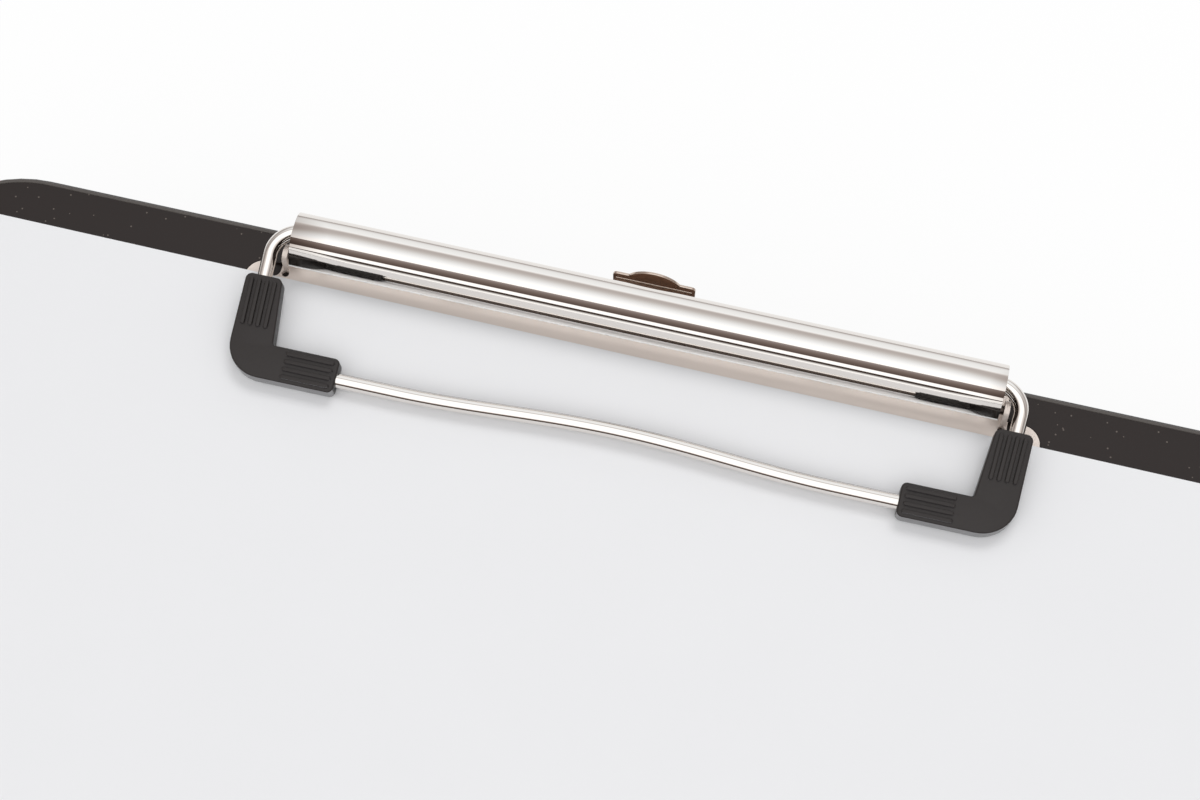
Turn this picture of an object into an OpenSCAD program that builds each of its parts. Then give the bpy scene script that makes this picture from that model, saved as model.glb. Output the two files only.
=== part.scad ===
// Storage clipboard box: a shallow A4 document case whose lid is a clipboard.
// A low wire clip with a folded metal cover is riveted to the lid, and a hanger slides out behind it.
// The lid is three pieces that lie face to face: its writing plate, its rim and the ribs between.
// Origin: middle of the whole plan, hanger lip included, on the surface that the feet stand on.
// X runs to the latch side, Y to the clip end, Z up. Millimetres.

/* [Box] */
// Width of the lid and of the case
box_w = 234; // [228:1:250]
// Length of the lid and of the case
box_l = 322; // [318:1:345]
// Radius of the four corners seen from above
corner_r = 20; // [14:1:28]
// Thickness of the moulded side walls
wall = 2.4; // [2:0.1:3]
// Height of the case from its floor to its rim
case_h = 20; // [18:1:45]
// Thickness of the case floor
floor_t = 2.2; // [1.8:0.1:3]
// Rounding of the case's lower edge
case_edge_r = 3.5; // [2:0.5:5]
// Height of the lid from its rim to its writing face
lid_h = 7.6; // [7.2:0.1:10]
// Thickness of the lid's writing plate
lid_top_t = 3; // [2.8:0.1:3.6]
// Rounding of the lid's upper edge
lid_edge_r = 1.1; // [0.6:0.1:1.6]
// Gap between the rims of the lid and the case
seam_gap = 0.25; // [0.1:0.05:0.5]
// Thickness of the lid's locating tongue
tongue_t = 1.4; // [1:0.1:2]
// Depth of the tongue below the lid's rim
tongue_h = 2; // [1.5:0.1:3]

/* [Inside] */
// Width of the pen channel along the latch side
pen_w = 13; // [10:0.5:13.5]
// Thickness of the channel's divider
divider_t = 1.6; // [1.2:0.1:2]
// Height of the divider above the floor
divider_h = 11; // [8:0.5:14]
// Thickness of the ribs under the writing plate
rib_t = 1.4; // [1:0.1:2]
// Height of the ribs under the writing plate
rib_h = 2; // [1:0.1:2.5]

/* [Feet] */
// Radius of a rubber foot
foot_r = 6; // [4:0.5:8]
// How far the feet stand below the case
foot_h = 1.5; // [1:0.1:3]
// How deep a foot is seated in the floor
foot_seat = 0.8; // [0.5:0.1:1.2]
// Distance of a foot's centre from the two sides
foot_inset = 24; // [20:1:40]

/* [Lid hinge] */
// Length of each of the two hinges
hinge_l = 60; // [40:1:90]
// Distance of a hinge's middle from the end of the box
hinge_inset = 62; // [50:1:90]
// Radius of a hinge knuckle
knuckle_r = 3.2; // [2.8:0.1:4]
// Gap between neighbouring knuckles
knuckle_gap = 0.4; // [0.2:0.05:0.6]
// Radius of a hinge pin
hinge_pin_r = 1.5; // [1:0.1:1.8]
// Gap between the knuckles and the side wall
barrel_gap = 0.4; // [0.3:0.05:0.8]

/* [Latch] */
// Length of the latch along the side
latch_l = 46; // [30:1:60]
// Thickness of the latch plate
latch_t = 2; // [1.6:0.1:2.5]
// Radius of the latch barrel
latch_barrel_r = 2.4; // [2:0.1:2.8]
// Radius of the latch pin
latch_pin_r = 1; // [0.8:0.1:1.2]
// How far the catch rib stands out of the case
catch_d = 2; // [1.5:0.1:2.4]
// Height of the catch rib
catch_h = 2; // [1.5:0.1:3]
// Distance of the catch rib below the case's rim
catch_drop = 3; // [2:0.1:4]
// Length of the finger tab below the hook
tab_h = 3.5; // [2:0.1:4]
// How far the finger tab flares out
tab_flare = 2.5; // [1:0.1:3]
// Thickness of the two lugs that carry the latch pin
lug_t = 3; // [2:0.1:4]

/* [Sheets] */
// Width of the sheets on the clipboard
sheet_w = 210; // [200:1:216]
// Length of the sheets on the clipboard
sheet_l = 297; // [270:1:300]
// Thickness of the stack of sheets
sheet_t = 0.5; // [0.3:0.1:1.2]
// Distance of the sheets' upper edge from the lid's edge
clip_setback = 8.6; // [8:0.1:9]

/* [Clip plate] */
// Width of the clip's base plate over its lobes
plate_w = 124.6; // [124:0.2:130]
// Sheet thickness of the clip's plate and of its ears
plate_t = 0.8; // [0.6:0.05:1]
// How far the plate stands above the writing face
plate_proud = 0.2; // [0.1:0.05:0.3]
// How far the plate reaches under the sheets
plate_front = 11; // [9:0.5:14]
// How far the lobes reach behind the sheets' edge
lobe_back = 2.8; // [2.6:0.1:3.2]
// Corner radius of the lobes
lobe_r = 3; // [2:0.1:4]
// How far the middle of the plate reaches behind the sheets' edge
plate_back = 6.9; // [6.2:0.1:7.2]
// Width of the round-ended slot beside each ear
slot_w = 2.3; // [1.8:0.1:2.4]
// Radius of a rivet's shank
rivet_r = 1.5; // [1.2:0.1:1.8]
// Radius of a rivet's head
rivet_head_r = 2.9; // [2.6:0.1:3.4]
// Distance between the two rivets
rivet_gap = 76; // [40:1:90]
// Distance of the rivets in front of the sheets' edge
rivet_front = 6; // [5:0.1:7]
// Radius of a rivet's washer
washer_r = 4.5; // [4:0.1:6]
// Thickness of a rivet's washer
washer_t = 0.8; // [0.5:0.1:1]

/* [Pivot] */
// Place of the pivot pin behind the sheets' edge
pin_y = 3.4; // [3.3:0.05:3.5]
// Height of the pivot pin above the writing face
pin_z = 2.8; // [2.7:0.05:2.9]
// Radius of the pivot pin
pin_r = 0.7; // [0.5:0.05:0.75]
// Radius of the ears' round tops
ear_r = 1.5; // [1.3:0.05:1.5]
// Distance of an ear's outer face from the middle
ear_x = 56.6; // [56.4:0.05:56.7]

/* [Cover] */
// Length of the folded cover
cover_l = 110; // [104:0.5:110.5]
// Sheet thickness of the cover
cover_t = 0.7; // [0.5:0.05:0.8]
// Outer radius of the rolled rear edge
roll_r = 2.9; // [2.7:0.05:3]
// Place of the roll's centre behind the sheets' edge
roll_y = 6.3; // [6.2:0.1:6.4]
// Height of the roll's centre above the writing face
roll_z = 5.9; // [5.8:0.05:6.1]
// Place of the sharp crest behind the sheets' edge
crest_y = 3.35; // [3.2:0.05:3.5]
// Height of the crest above the writing face
crest_z = 8.47; // [8.3:0.05:8.7]
// Place of the lower edge of the slanted band below the crest
fold_y = 2.73; // [2.6:0.05:2.85]
// Height of the lower edge of the slanted band
fold_z = 7.76; // [7.6:0.05:7.9]
// How far the front face swells out between that band and the lip
front_swell = 0.18; // [0.1:0.02:0.3]
// Place of the free front lip
lip_y = 1.2; // [1.1:0.05:1.3]
// Height of the free front lip
lip_z = 4.1; // [4:0.05:4.3]
// Sheet thickness of the brackets inside the cover
bracket_t = 0.8; // [0.6:0.05:1]
// Distance of a bracket from the end of the cover
bracket_inset = 4; // [2:0.1:8]

/* [Wire] */
// Radius of the bail's wire
wire_r = 1.15; // [1:0.05:1.25]
// Gap between the rear bar and the inside of the cover's roll
wire_gap = 0.1; // [0.05:0.01:0.15]
// Distance of the side arms from the middle at their rear end
arm_x = 58.5; // [58.4:0.05:58.8]
// How far the side arms lean in towards the front
arm_lean = 1; // [0:0.1:1.4]
// Bend radius of the wire's middle line
bend_r = 4.4; // [4.2:0.1:4.6]
// Distance of the front bar from the sheets' edge
front_bar_y = 15.1; // [14:0.1:17]
// Height of the wave in the middle of the front bar
bow_h = 1.45; // [0:0.05:2]
// Half the length of the wave
bow_half = 34; // [20:1:40]

/* [Grips] */
// Thickness of a grip
grip_h = 3.6; // [3.2:0.1:4]
// Width of a grip's side leg at its rear end
grip_w = 5.6; // [5:0.1:6]
// Width of a grip's front leg
grip_front_w = 5.5; // [5:0.1:6]
// Distance of the rear end of a grip from the sheets' edge
grip_end_y = 1.7; // [1.5:0.1:3]
// Distance of the inner end of a grip from the middle
grip_end_x = 43.3; // [40:0.1:46]
// Radius of a grip's outer corner
grip_corner_r = 5.5; // [4:0.1:6]
// Rounding of a grip's edges
grip_edge = 0.5; // [0.3:0.05:0.7]
// Number of raised ribs on each leg
grip_ribs = 4; // [3:1:5]
// Length of the raised ribs
grip_rib_l = 8; // [5:0.1:9]
// Width of a raised rib
grip_rib_w = 0.65; // [0.4:0.05:0.7]
// Height of a raised rib
grip_rib_h = 0.3; // [0.2:0.05:0.4]

/* [Springs] */
// Radius of the spring wire
spring_wire_r = 0.3; // [0.2:0.05:0.3]
// Radius of the coil's middle line
coil_r = 1.2; // [1.15:0.05:1.25]
// Distance between neighbouring turns
coil_pitch = 1.05; // [1.05:0.05:1.4]
// Number of whole turns
coil_turns = 6; // [4:1:10]
// Distance of a coil's inner end from the middle
coil_x = 26; // [15:1:36]
// Length of the upper leg, behind the cover's front
upper_leg = 2.2; // [1.5:0.1:2.6]
// Reach of the lower leg behind the pivot pin
lower_leg = 3.4; // [3:0.1:3.4]

/* [Hanger] */
// Width of the hanger's tongue and of its upturned lip
hanger_w = 13; // [11:0.5:15]
// Sheet thickness of the hanger
hanger_t = 0.8; // [0.6:0.05:0.9]
// Place of the lip behind the sheets' edge
hanger_lip_y = 12; // [11.5:0.1:13]
// Height of the lip above the writing face
hanger_lip_z = 2.9; // [2.4:0.1:3.2]
// Height of the round thumb tab above the writing face
hanger_tab_z = 5.2; // [4.6:0.1:5.4]
// Width of the round thumb tab where it leaves the lip
hanger_tab_w = 8; // [6:0.1:9]
// How far the hanger slides out
hanger_travel = 12; // [9:0.5:12]
// Radius of the hanging hole
hang_hole_r = 2.5; // [2:0.1:3]
// Width of the stop head at the hanger's inner end
hanger_head_w = 18; // [17:0.5:22]
// Length of the stop head
hanger_head_l = 4; // [3:0.1:4]

/* [Fits] */
// Radial gap of a pin in a bore
run_gap = 0.05; // [0.02:0.01:0.1]
// Gap between pieces that lie against each other
seat_gap = 0.02; // [0.01:0.01:0.05]
// Gap at the side of a piece that lies in a recess
side_gap = 0.15; // [0.1:0.05:0.3]
// Gap between the lid's tongue and the case wall
tongue_gap = 0.3; // [0.2:0.05:0.5]
// Gap between the latch hook and the catch rib
hook_gap = 0.3; // [0.2:0.05:0.5]

/* [Hidden] */

// Colours as the photograph shows them
black_plastic = [0.15, 0.14, 0.13];
black_grip = [0.17, 0.16, 0.155];
nickel = [0.82, 0.79, 0.76];
steel = [0.68, 0.67, 0.66];
rubber_grey = [0.09, 0.09, 0.09];
paper_white = [0.94, 0.94, 0.95];

// Overrun of every cut
over = 1;
// Segments of the large rounded corners
slab_fn = 64;
// Segments of small round pieces
round_fn = 48;
// Segments of an arc in a bent path
arc_steps = 8;
// Segments of the cover's roll, and the angle at which the roll ends below the wire
roll_steps = 36;
roll_start = -95;

// Segments of the swelling front face
swell_steps = 6;

// Heights of the box
case_z = foot_h;
rim_z = case_z + case_h;
lid_z = rim_z + seam_gap;
face_z = lid_z + lid_h;
seam_z = rim_z + seam_gap / 2;
plate_z = face_z - lid_top_t;
half_w = box_w / 2;
half_l = box_l / 2;
tongue_w = box_w - 2 * wall - 2 * tongue_gap;
tongue_l = box_l - 2 * wall - 2 * tongue_gap;
tongue_r = corner_r - wall - tongue_gap;
rim_inner_w = tongue_w - 2 * tongue_t;
rim_inner_l = tongue_l - 2 * tongue_t;
rim_corner_r = tongue_r * 0.64;

// Places of the ribs under the writing plate, as shares of the lid's half width and half length
rib_x_shares = [-0.58, 0, 0.58];
rib_y_shares = [-0.6, -0.2, 0.2, 0.6];

// Lid hinge
hinge_x = -half_w - knuckle_r - barrel_gap;
hinge_ys = [-half_l + hinge_inset, half_l - hinge_inset];
knuckle_web = knuckle_r * 1.4;
knuckle_l = (hinge_l - 2 * knuckle_gap) / 3;

// Latch
latch_x = half_w + catch_d + hook_gap + latch_barrel_r / 6;
latch_z = lid_z + lid_h / 2;
catch_top = rim_z - catch_drop;
catch_low = catch_top - catch_h;
hook_t = catch_h * 0.8;
latch_low = catch_low - hook_gap - hook_t;
plate_inner_x = half_w + catch_d + hook_gap;
hook_x = half_w + hook_gap * 2;

// Clip frame: its origin lies on the writing face, at the middle of the sheets' upper edge
clip_y = half_l - clip_setback;
plate_low = plate_proud - plate_t;
sheet_low = plate_proud + seat_gap;
sheet_top = sheet_low + sheet_t;
ear_root = ear_r;
slot_x = ear_x + plate_t * 0.5;
slot_y = lobe_back - slot_w / 2;
cover_end = cover_l / 2;
bracket_x = cover_end - bracket_inset;

// Rear bar of the wire: it lies low inside the cover's roll, at this angle from the roll's centre
rear_bar_angle = -70;
rear_bar_drop = roll_r - cover_t - wire_r - wire_gap;
rear_bar_y = roll_y + rear_bar_drop * cos(rear_bar_angle);
rear_bar_z = roll_z + rear_bar_drop * sin(rear_bar_angle);

// Bail plane: the wire and its grips lie in one plane that falls towards the front
grip_front_y = front_bar_y + grip_front_w * 0.42;
grip_low_z = sheet_top + run_gap;
bail_tilt = atan((rear_bar_z - grip_low_z - grip_h / 2) / (rear_bar_y + grip_front_y));
arm_front_x = arm_x - arm_lean;
front_v = -in_plane(front_bar_y);
grip_front_v = -in_plane(grip_front_y);
grip_end_v = -in_plane(grip_end_y);
grip_inner_v = grip_front_v + grip_front_w;

// Hanger
hanger_top = plate_low - seat_gap;
hanger_low = hanger_top - hanger_t;
groove_low = hanger_low - seat_gap;
hanger_back = -plate_front + side_gap;
hang_hole_y = hanger_lip_y - hang_hole_r * 3;
tab_r = (pow(hanger_tab_w / 2, 2) + pow(hanger_tab_z - hanger_lip_z, 2)) / (2 * (hanger_tab_z - hanger_lip_z));

// Length along the bail plane of a distance in front of the sheets' edge
function in_plane(y) = (y + rear_bar_y) / cos(bail_tilt);

// Point list of one rounded corner: the path comes from a, turns at c and leaves to b
function corner_arc(a, c, b, r, steps) =
    let (
        u = (a - c) / norm(a - c),
        v = (b - c) / norm(b - c),
        half = acos(u * v) / 2,
        mid = c + (u + v) / norm(u + v) * r / sin(half),
        p = c + u * r / tan(half) - mid,
        q = c + v * r / tan(half) - mid,
        start = atan2(p[1], p[0]),
        turn = atan2(p[0] * q[1] - p[1] * q[0], p * q)
    )
    [for (i = [0 : steps]) mid + r * [cos(start + turn * i / steps), sin(start + turn * i / steps)]];

// Closed outline whose corners are rounded, each with its own radius
function rounded_outline(pts, radii, steps) =
    let (n = len(pts))
    [for (i = [0 : n - 1]) each corner_arc(pts[(i + n - 1) % n], pts[i], pts[(i + 1) % n], radii[i], steps)];

// Outline of a bent sheet: a path of outer points and its copy one thickness inward
function side_normal(a, b) = let (d = (b - a) / norm(b - a)) [d[1], -d[0]];
function mitre(pts, i) =
    i == 0 ? side_normal(pts[0], pts[1])
    : i == len(pts) - 1 ? side_normal(pts[i - 1], pts[i])
    : let (m = side_normal(pts[i - 1], pts[i]) + side_normal(pts[i], pts[i + 1]))
      m / (m * side_normal(pts[i], pts[i + 1]));
function inner_path(pts, t) = [for (i = [0 : len(pts) - 1]) pts[i] + t * mitre(pts, i)];
function reversed(pts) = [for (i = [len(pts) - 1 : -1 : 0]) pts[i]];

// Faces of a tube of rings, each ring with the same number of sides
function tube_faces(rings, sides) =
    [for (i = [0 : rings - 2], j = [0 : sides - 1], k = [0, 1])
        k == 0
        ? [i * sides + j, (i + 1) * sides + j, (i + 1) * sides + (j + 1) % sides]
        : [i * sides + j, (i + 1) * sides + (j + 1) % sides, i * sides + (j + 1) % sides]];

// Slab with round corners and round edges, lower edge radius e_low and upper edge radius e_top:
// a block, four straight sides and four corners, all with the same profile, that meet face to face
module slab(w, l, h, r, e_low, e_top) {
    profile = concat(
        [[0, 0]],
        e_low > 0 ? [for (a = [-90 : 22.5 : 0]) [r - e_low + e_low * cos(a), e_low + e_low * sin(a)]] : [[r, 0]],
        e_top > 0 ? [for (a = [0 : 22.5 : 90]) [r - e_top + e_top * cos(a), h - e_top + e_top * sin(a)]] : [[r, h]],
        [[0, h]]
    );
    translate([r - w / 2, r - l / 2, 0]) cube([w - 2 * r, l - 2 * r, h]);
    for (side = [0 : 3]) {
        reach = (side % 2 == 0 ? w : l) / 2 - r;
        run = (side % 2 == 0 ? l : w) / 2 - r;
        rotate([0, 0, 90 * side]) {
            translate([reach, 0, 0]) along_y(2 * run) polygon(profile);
            translate([reach, run, 0]) rotate_extrude(angle = 90, $fn = slab_fn) polygon(profile);
        }
    }
}

// Rectangle with round corners
module round_rect(w, l, r) {
    square([w - 2 * r, l], center = true);
    square([w, l - 2 * r], center = true);
    for (sx = [-1, 1], sy = [-1, 1])
        translate([sx * (w / 2 - r), sy * (l / 2 - r)]) circle(r, $fn = slab_fn);
}

// Rod along X or along Y, centred on the origin
module rod_x(r, l) {
    rotate([0, 90, 0]) cylinder(r = r, h = l, center = true, $fn = round_fn);
}

module rod_y(r, l) {
    rotate([90, 0, 0]) cylinder(r = r, h = l, center = true, $fn = round_fn);
}

// Profile in the X-Z plane, extruded along Y and centred
module along_y(l) {
    translate([0, l / 2, 0]) rotate([90, 0, 0]) linear_extrude(l) children();
}

// Profile in the Y-Z plane, extruded along X and centred
module along_x(l) {
    translate([-l / 2, 0, 0]) rotate([90, 0, 90]) linear_extrude(l) children();
}

// Puts the origin in the middle of the whole plan, with the hanger's lip counted in
module place() {
    translate([0, -(hanger_lip_y + hanger_t - clip_setback) / 2, 0]) children();
}

module at_clip() {
    translate([0, clip_y, face_z]) children();
}

// Knuckle with the web that joins it to a side wall; side is -1 below the seam and 1 above it
module knuckle(l, side) {
    along_y(l)
        difference() {
            union() {
                translate([hinge_x, seam_z]) circle(knuckle_r, $fn = round_fn);
                polygon([
                    [hinge_x, seam_z + side * seam_gap / 2],
                    [hinge_x, seam_z + side * knuckle_r],
                    [-half_w + wall / 2, seam_z + side * knuckle_web],
                    [-half_w + wall / 2, seam_z + side * seam_gap / 2]
                ]);
            }
            translate([hinge_x, seam_z]) circle(hinge_pin_r + run_gap, $fn = round_fn);
        }
}

module foot_places() {
    for (sx = [-1, 1], sy = [-1, 1])
        translate([sx * (half_w - foot_inset), sy * (half_l - foot_inset), 0]) children();
}

module base_tray() {
    color(black_plastic) {
        difference() {
            translate([0, 0, case_z]) slab(box_w, box_l, case_h, corner_r, case_edge_r, 0);
            translate([0, 0, case_z + floor_t])
                linear_extrude(case_h) round_rect(box_w - 2 * wall, box_l - 2 * wall, corner_r - wall);
            foot_places()
                translate([0, 0, case_z - over])
                    cylinder(r = foot_r + side_gap, h = foot_seat + over, $fn = round_fn);
        }
        // Divider of the pen channel
        translate([half_w - wall - pen_w - divider_t, -half_l + wall / 2, case_z + floor_t / 2])
            cube([divider_t, box_l - wall, divider_h + floor_t / 2]);
        // Catch rib for the latch
        along_y(latch_l)
            polygon([
                [half_w - wall / 2, catch_low],
                [half_w + catch_d, catch_low],
                [half_w + catch_d, catch_low + catch_h / 2],
                [half_w, catch_top],
                [half_w - wall / 2, catch_top]
            ]);
        // Outer knuckles of the two hinges
        for (y = hinge_ys, s = [-1, 1])
            translate([0, y + s * (knuckle_l + knuckle_gap), 0]) knuckle(knuckle_l, -1);
    }
}

module foot(sx, sy) {
    color(rubber_grey)
        translate([sx * (half_w - foot_inset), sy * (half_l - foot_inset), 0])
            rotate_extrude($fn = round_fn)
                polygon([
                    [0, 0],
                    [foot_r - foot_h / 2, 0],
                    [foot_r - foot_h / 8, foot_h / 4],
                    [foot_r, foot_h * 3 / 4],
                    [foot_r, foot_h + foot_seat - seat_gap],
                    [0, foot_h + foot_seat - seat_gap]
                ]);
}

module hinge_pin(y) {
    color(steel) translate([hinge_x, y, seam_z]) rod_y(hinge_pin_r, hinge_l);
}

// Plan of the clip's base plate without its slots
module plate_plan(grow) {
    translate([0, (lobe_back - plate_front) / 2])
        round_rect(plate_w + 2 * grow, lobe_back + plate_front + 2 * grow, lobe_r + grow);
    translate([-ear_x - grow, 0]) square([2 * (ear_x + grow), plate_back + grow]);
}

module rivet_places() {
    for (sx = [-1, 1])
        translate([sx * rivet_gap / 2, -rivet_front, 0]) children();
}

// Plan of the hanger's groove, open at the rear, with a wider part for the stop head
module groove_plan() {
    translate([-hanger_w / 2 - side_gap, hanger_back - side_gap])
        square([hanger_w + 2 * side_gap, plate_front + clip_setback + over]);
    translate([-hanger_head_w / 2 - side_gap, hanger_back - side_gap])
        square([hanger_head_w + 2 * side_gap, hanger_head_l + hanger_travel + 2 * side_gap]);
}

module writing_slab() {
    translate([0, 0, plate_z]) slab(box_w, box_l, lid_top_t, corner_r, 0, lid_edge_r);
}

// Writing plate of the lid; the hanger's groove goes through it, and groove_floor closes it below
module lid() {
    color(black_plastic)
        difference() {
            writing_slab();
            at_clip() {
                // Recess of the base plate
                translate([0, 0, plate_low]) linear_extrude(plate_t + over) plate_plan(side_gap);
                translate([0, 0, -lid_h]) linear_extrude(lid_h + over) groove_plan();
                rivet_places()
                    translate([0, 0, -lid_top_t - over])
                        cylinder(r = rivet_r + run_gap, h = lid_top_t + over, $fn = round_fn);
            }
        }
}

// Floor of the hanger's groove, face to face with the writing plate around it
module groove_floor() {
    color(black_plastic)
        intersection() {
            writing_slab();
            at_clip() translate([0, 0, -lid_h]) linear_extrude(lid_h + groove_low) groove_plan();
        }
}

// Rim of the lid with its tongue, the middle knuckles of the hinges and the latch lugs
module lid_frame() {
    color(black_plastic) {
        difference() {
            union() {
                translate([0, 0, lid_z]) linear_extrude(plate_z - lid_z) round_rect(box_w, box_l, corner_r);
                // Tongue that locates the lid inside the case
                translate([0, 0, lid_z - tongue_h])
                    linear_extrude(tongue_h + wall) round_rect(tongue_w, tongue_l, tongue_r);
            }
            // The inside, whose tighter corners end the tongue at each corner
            translate([0, 0, lid_z - tongue_h - over])
                linear_extrude(tongue_h + lid_h + over) round_rect(rim_inner_w, rim_inner_l, rim_corner_r);
        }
        // Middle knuckles of the two hinges
        for (y = hinge_ys)
            translate([0, y, 0]) knuckle(knuckle_l, 1);
        // Lugs that carry the latch
        for (s = [-1, 1])
            translate([0, s * (latch_l / 2 + knuckle_gap + lug_t / 2), 0])
                along_y(lug_t)
                    difference() {
                        union() {
                            translate([latch_x, latch_z]) circle(latch_barrel_r, $fn = round_fn);
                            translate([half_w - wall / 2, latch_z - latch_barrel_r])
                                square([latch_x - half_w + wall / 2, plate_z - latch_z + latch_barrel_r]);
                        }
                        translate([latch_x, latch_z]) circle(latch_pin_r + run_gap, $fn = round_fn);
                    }
    }
}

// Ribs under the writing plate, crossing each other, from rim to rim
module lid_ribs() {
    color(black_plastic) {
        for (share = rib_x_shares)
            translate([share * half_w - rib_t / 2, seat_gap - rim_inner_l / 2, plate_z - rib_h])
                cube([rib_t, rim_inner_l - 2 * seat_gap, rib_h]);
        for (share = rib_y_shares)
            translate([seat_gap - rim_inner_w / 2, share * half_l - rib_t / 2, plate_z - rib_h])
                cube([rim_inner_w - 2 * seat_gap, rib_t, rib_h]);
    }
}

module latch() {
    color(black_plastic)
        along_y(latch_l)
            difference() {
                union() {
                    translate([latch_x, latch_z]) circle(latch_barrel_r, $fn = round_fn);
                    polygon([
                        [plate_inner_x, latch_z],
                        [plate_inner_x, catch_low - hook_gap],
                        [hook_x, catch_low - hook_gap],
                        [hook_x, catch_low - hook_gap - hook_t / 2],
                        [plate_inner_x, latch_low],
                        [plate_inner_x + tab_flare, latch_low - tab_h],
                        [plate_inner_x + tab_flare + latch_t, latch_low - tab_h],
                        [plate_inner_x + latch_t, latch_low],
                        [plate_inner_x + latch_t, latch_z]
                    ]);
                }
                translate([latch_x, latch_z]) circle(latch_pin_r + run_gap, $fn = round_fn);
            }
}

module latch_pin() {
    color(steel) translate([latch_x, 0, latch_z]) rod_y(latch_pin_r, latch_l + 2 * knuckle_gap + 2 * lug_t);
}

module clip_base_plate() {
    color(nickel)
        at_clip()
            difference() {
                union() {
                    translate([0, 0, plate_low]) linear_extrude(plate_t) plate_plan(0);
                    // Ears turned up at both ends
                    for (s = [-1, 1])
                        translate([s * (ear_x - plate_t / 2), 0, 0])
                            along_x(plate_t) {
                                translate([pin_y, pin_z]) circle(ear_r, $fn = round_fn);
                                translate([pin_y - ear_root, plate_low])
                                    square([2 * ear_root, pin_z - plate_low]);
                            }
                }
                // Round-ended slots beside the ears
                for (s = [-1, 1])
                    translate([s * (slot_x + slot_w / 2), 0, plate_low - over])
                        linear_extrude(plate_t + 2 * over) {
                            translate([0, slot_y]) circle(slot_w / 2, $fn = round_fn);
                            translate([-slot_w / 2, slot_y]) square([slot_w, slot_w / 2 + over]);
                        }
                // Notch in front of each ear, so that the ear stands free
                for (s = [-1, 1])
                    translate([s * (ear_x - plate_t / 2), pin_y - ear_root - slot_w / 4, plate_low - over])
                        cylinder(r = slot_w / 4, h = plate_t + 2 * over, $fn = round_fn);
                translate([0, pin_y, pin_z]) rod_x(pin_r + seat_gap, 2 * ear_x + over);
                rivet_places()
                    translate([0, 0, plate_low])
                        cylinder(r1 = rivet_r + run_gap, r2 = rivet_head_r + run_gap, h = plate_t, $fn = round_fn);
            }
}

module clip_rivets() {
    color(steel)
        at_clip()
            rivet_places()
                rotate_extrude($fn = round_fn)
                    polygon([
                        [0, plate_proud],
                        [rivet_head_r, plate_proud],
                        [rivet_r, plate_low],
                        [rivet_r, -lid_top_t - washer_t - seat_gap],
                        [rivet_head_r, -lid_top_t - washer_t - seat_gap],
                        [rivet_head_r * 0.85, -lid_top_t - washer_t - seat_gap - washer_t * 0.8],
                        [rivet_r, -lid_top_t - washer_t * 2.2],
                        [0, -lid_top_t - washer_t * 2.2]
                    ]);
}

module rivet_washers() {
    color(steel)
        at_clip()
            rivet_places()
                translate([0, 0, -lid_top_t - washer_t])
                    difference() {
                        cylinder(r = washer_r, h = washer_t, $fn = round_fn);
                        translate([0, 0, -over])
                            cylinder(r = rivet_r + run_gap, h = washer_t + 2 * over, $fn = round_fn);
                    }
}

module pivot_pin() {
    color(steel) at_clip() translate([0, pin_y, pin_z]) rod_x(pin_r, 2 * ear_x);
}

// Outer line of the cover's bent front, from the roll's top over the crest and the slanted band
// to the free lip; the face below the band swells out a little
function cover_front_line() =
    let (
        fold = [fold_y, fold_z],
        lip = [lip_y, lip_z],
        out = -side_normal(fold, lip)
    )
    concat(
        [[roll_y, roll_z + roll_r], [crest_y, crest_z]],
        [for (i = [0 : swell_steps])
            let (t = i / swell_steps)
            fold + (lip - fold) * t + out * front_swell * 4 * t * (1 - t)]
    );

// The whole outer line: the roll around the wire's rear bar, then the top and the front
function cover_line() = concat(
    [for (i = [0 : roll_steps - 1])
        let (a = roll_start + (90 - roll_start) * i / roll_steps)
        [roll_y + roll_r * cos(a), roll_z + roll_r * sin(a)]],
    cover_front_line()
);

module cover_profile() {
    polygon(concat(cover_line(), reversed(inner_path(cover_line(), -cover_t))));
}

// Space inside the cover's top and front, along the inner side of the same line
module cover_inside() {
    inner = inner_path(cover_line(), -cover_t);
    polygon(concat(
        [for (i = [roll_steps : len(inner) - 1]) inner[i]],
        [[pin_y + ear_r * 0.7, lip_z], [roll_y, roll_z]]
    ));
}

module clip_cover() {
    color(nickel) at_clip() along_x(cover_l) cover_profile();
}

module lever_bracket(s) {
    color(steel)
        at_clip()
            translate([s * (bracket_x - bracket_t / 2), 0, 0])
                along_x(bracket_t)
                    difference() {
                        union() {
                            cover_inside();
                            translate([pin_y, pin_z]) circle(ear_r, $fn = round_fn);
                            translate([pin_y - ear_r * 0.5, pin_z]) square([ear_r * 1.2, lip_z - pin_z + ear_r / 4]);
                        }
                        translate([pin_y, pin_z]) circle(pin_r + run_gap, $fn = round_fn);
                        translate([rear_bar_y, rear_bar_z]) circle(wire_r + run_gap, $fn = round_fn);
                    }
}

// Middle line of the bail in its own plane, with the rear bar on the X axis
function bail_corners() = [[-arm_x, 0], [-arm_front_x, front_v], [arm_front_x, front_v], [arm_x, 0]];
function bail_bend(i) = let (c = bail_corners())
    corner_arc(c[(i + 3) % 4], c[i], c[(i + 1) % 4], bend_r, arc_steps);
function bail_bow() = [for (i = [0 : 20]) let (x = bow_half * (i / 10 - 1))
    [x, front_v + bow_h * (1 + cos(180 * x / bow_half)) / 2]];
function bail_line() = concat(bail_bend(0), bail_bend(1), bail_bow(), bail_bend(2), bail_bend(3));

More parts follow.
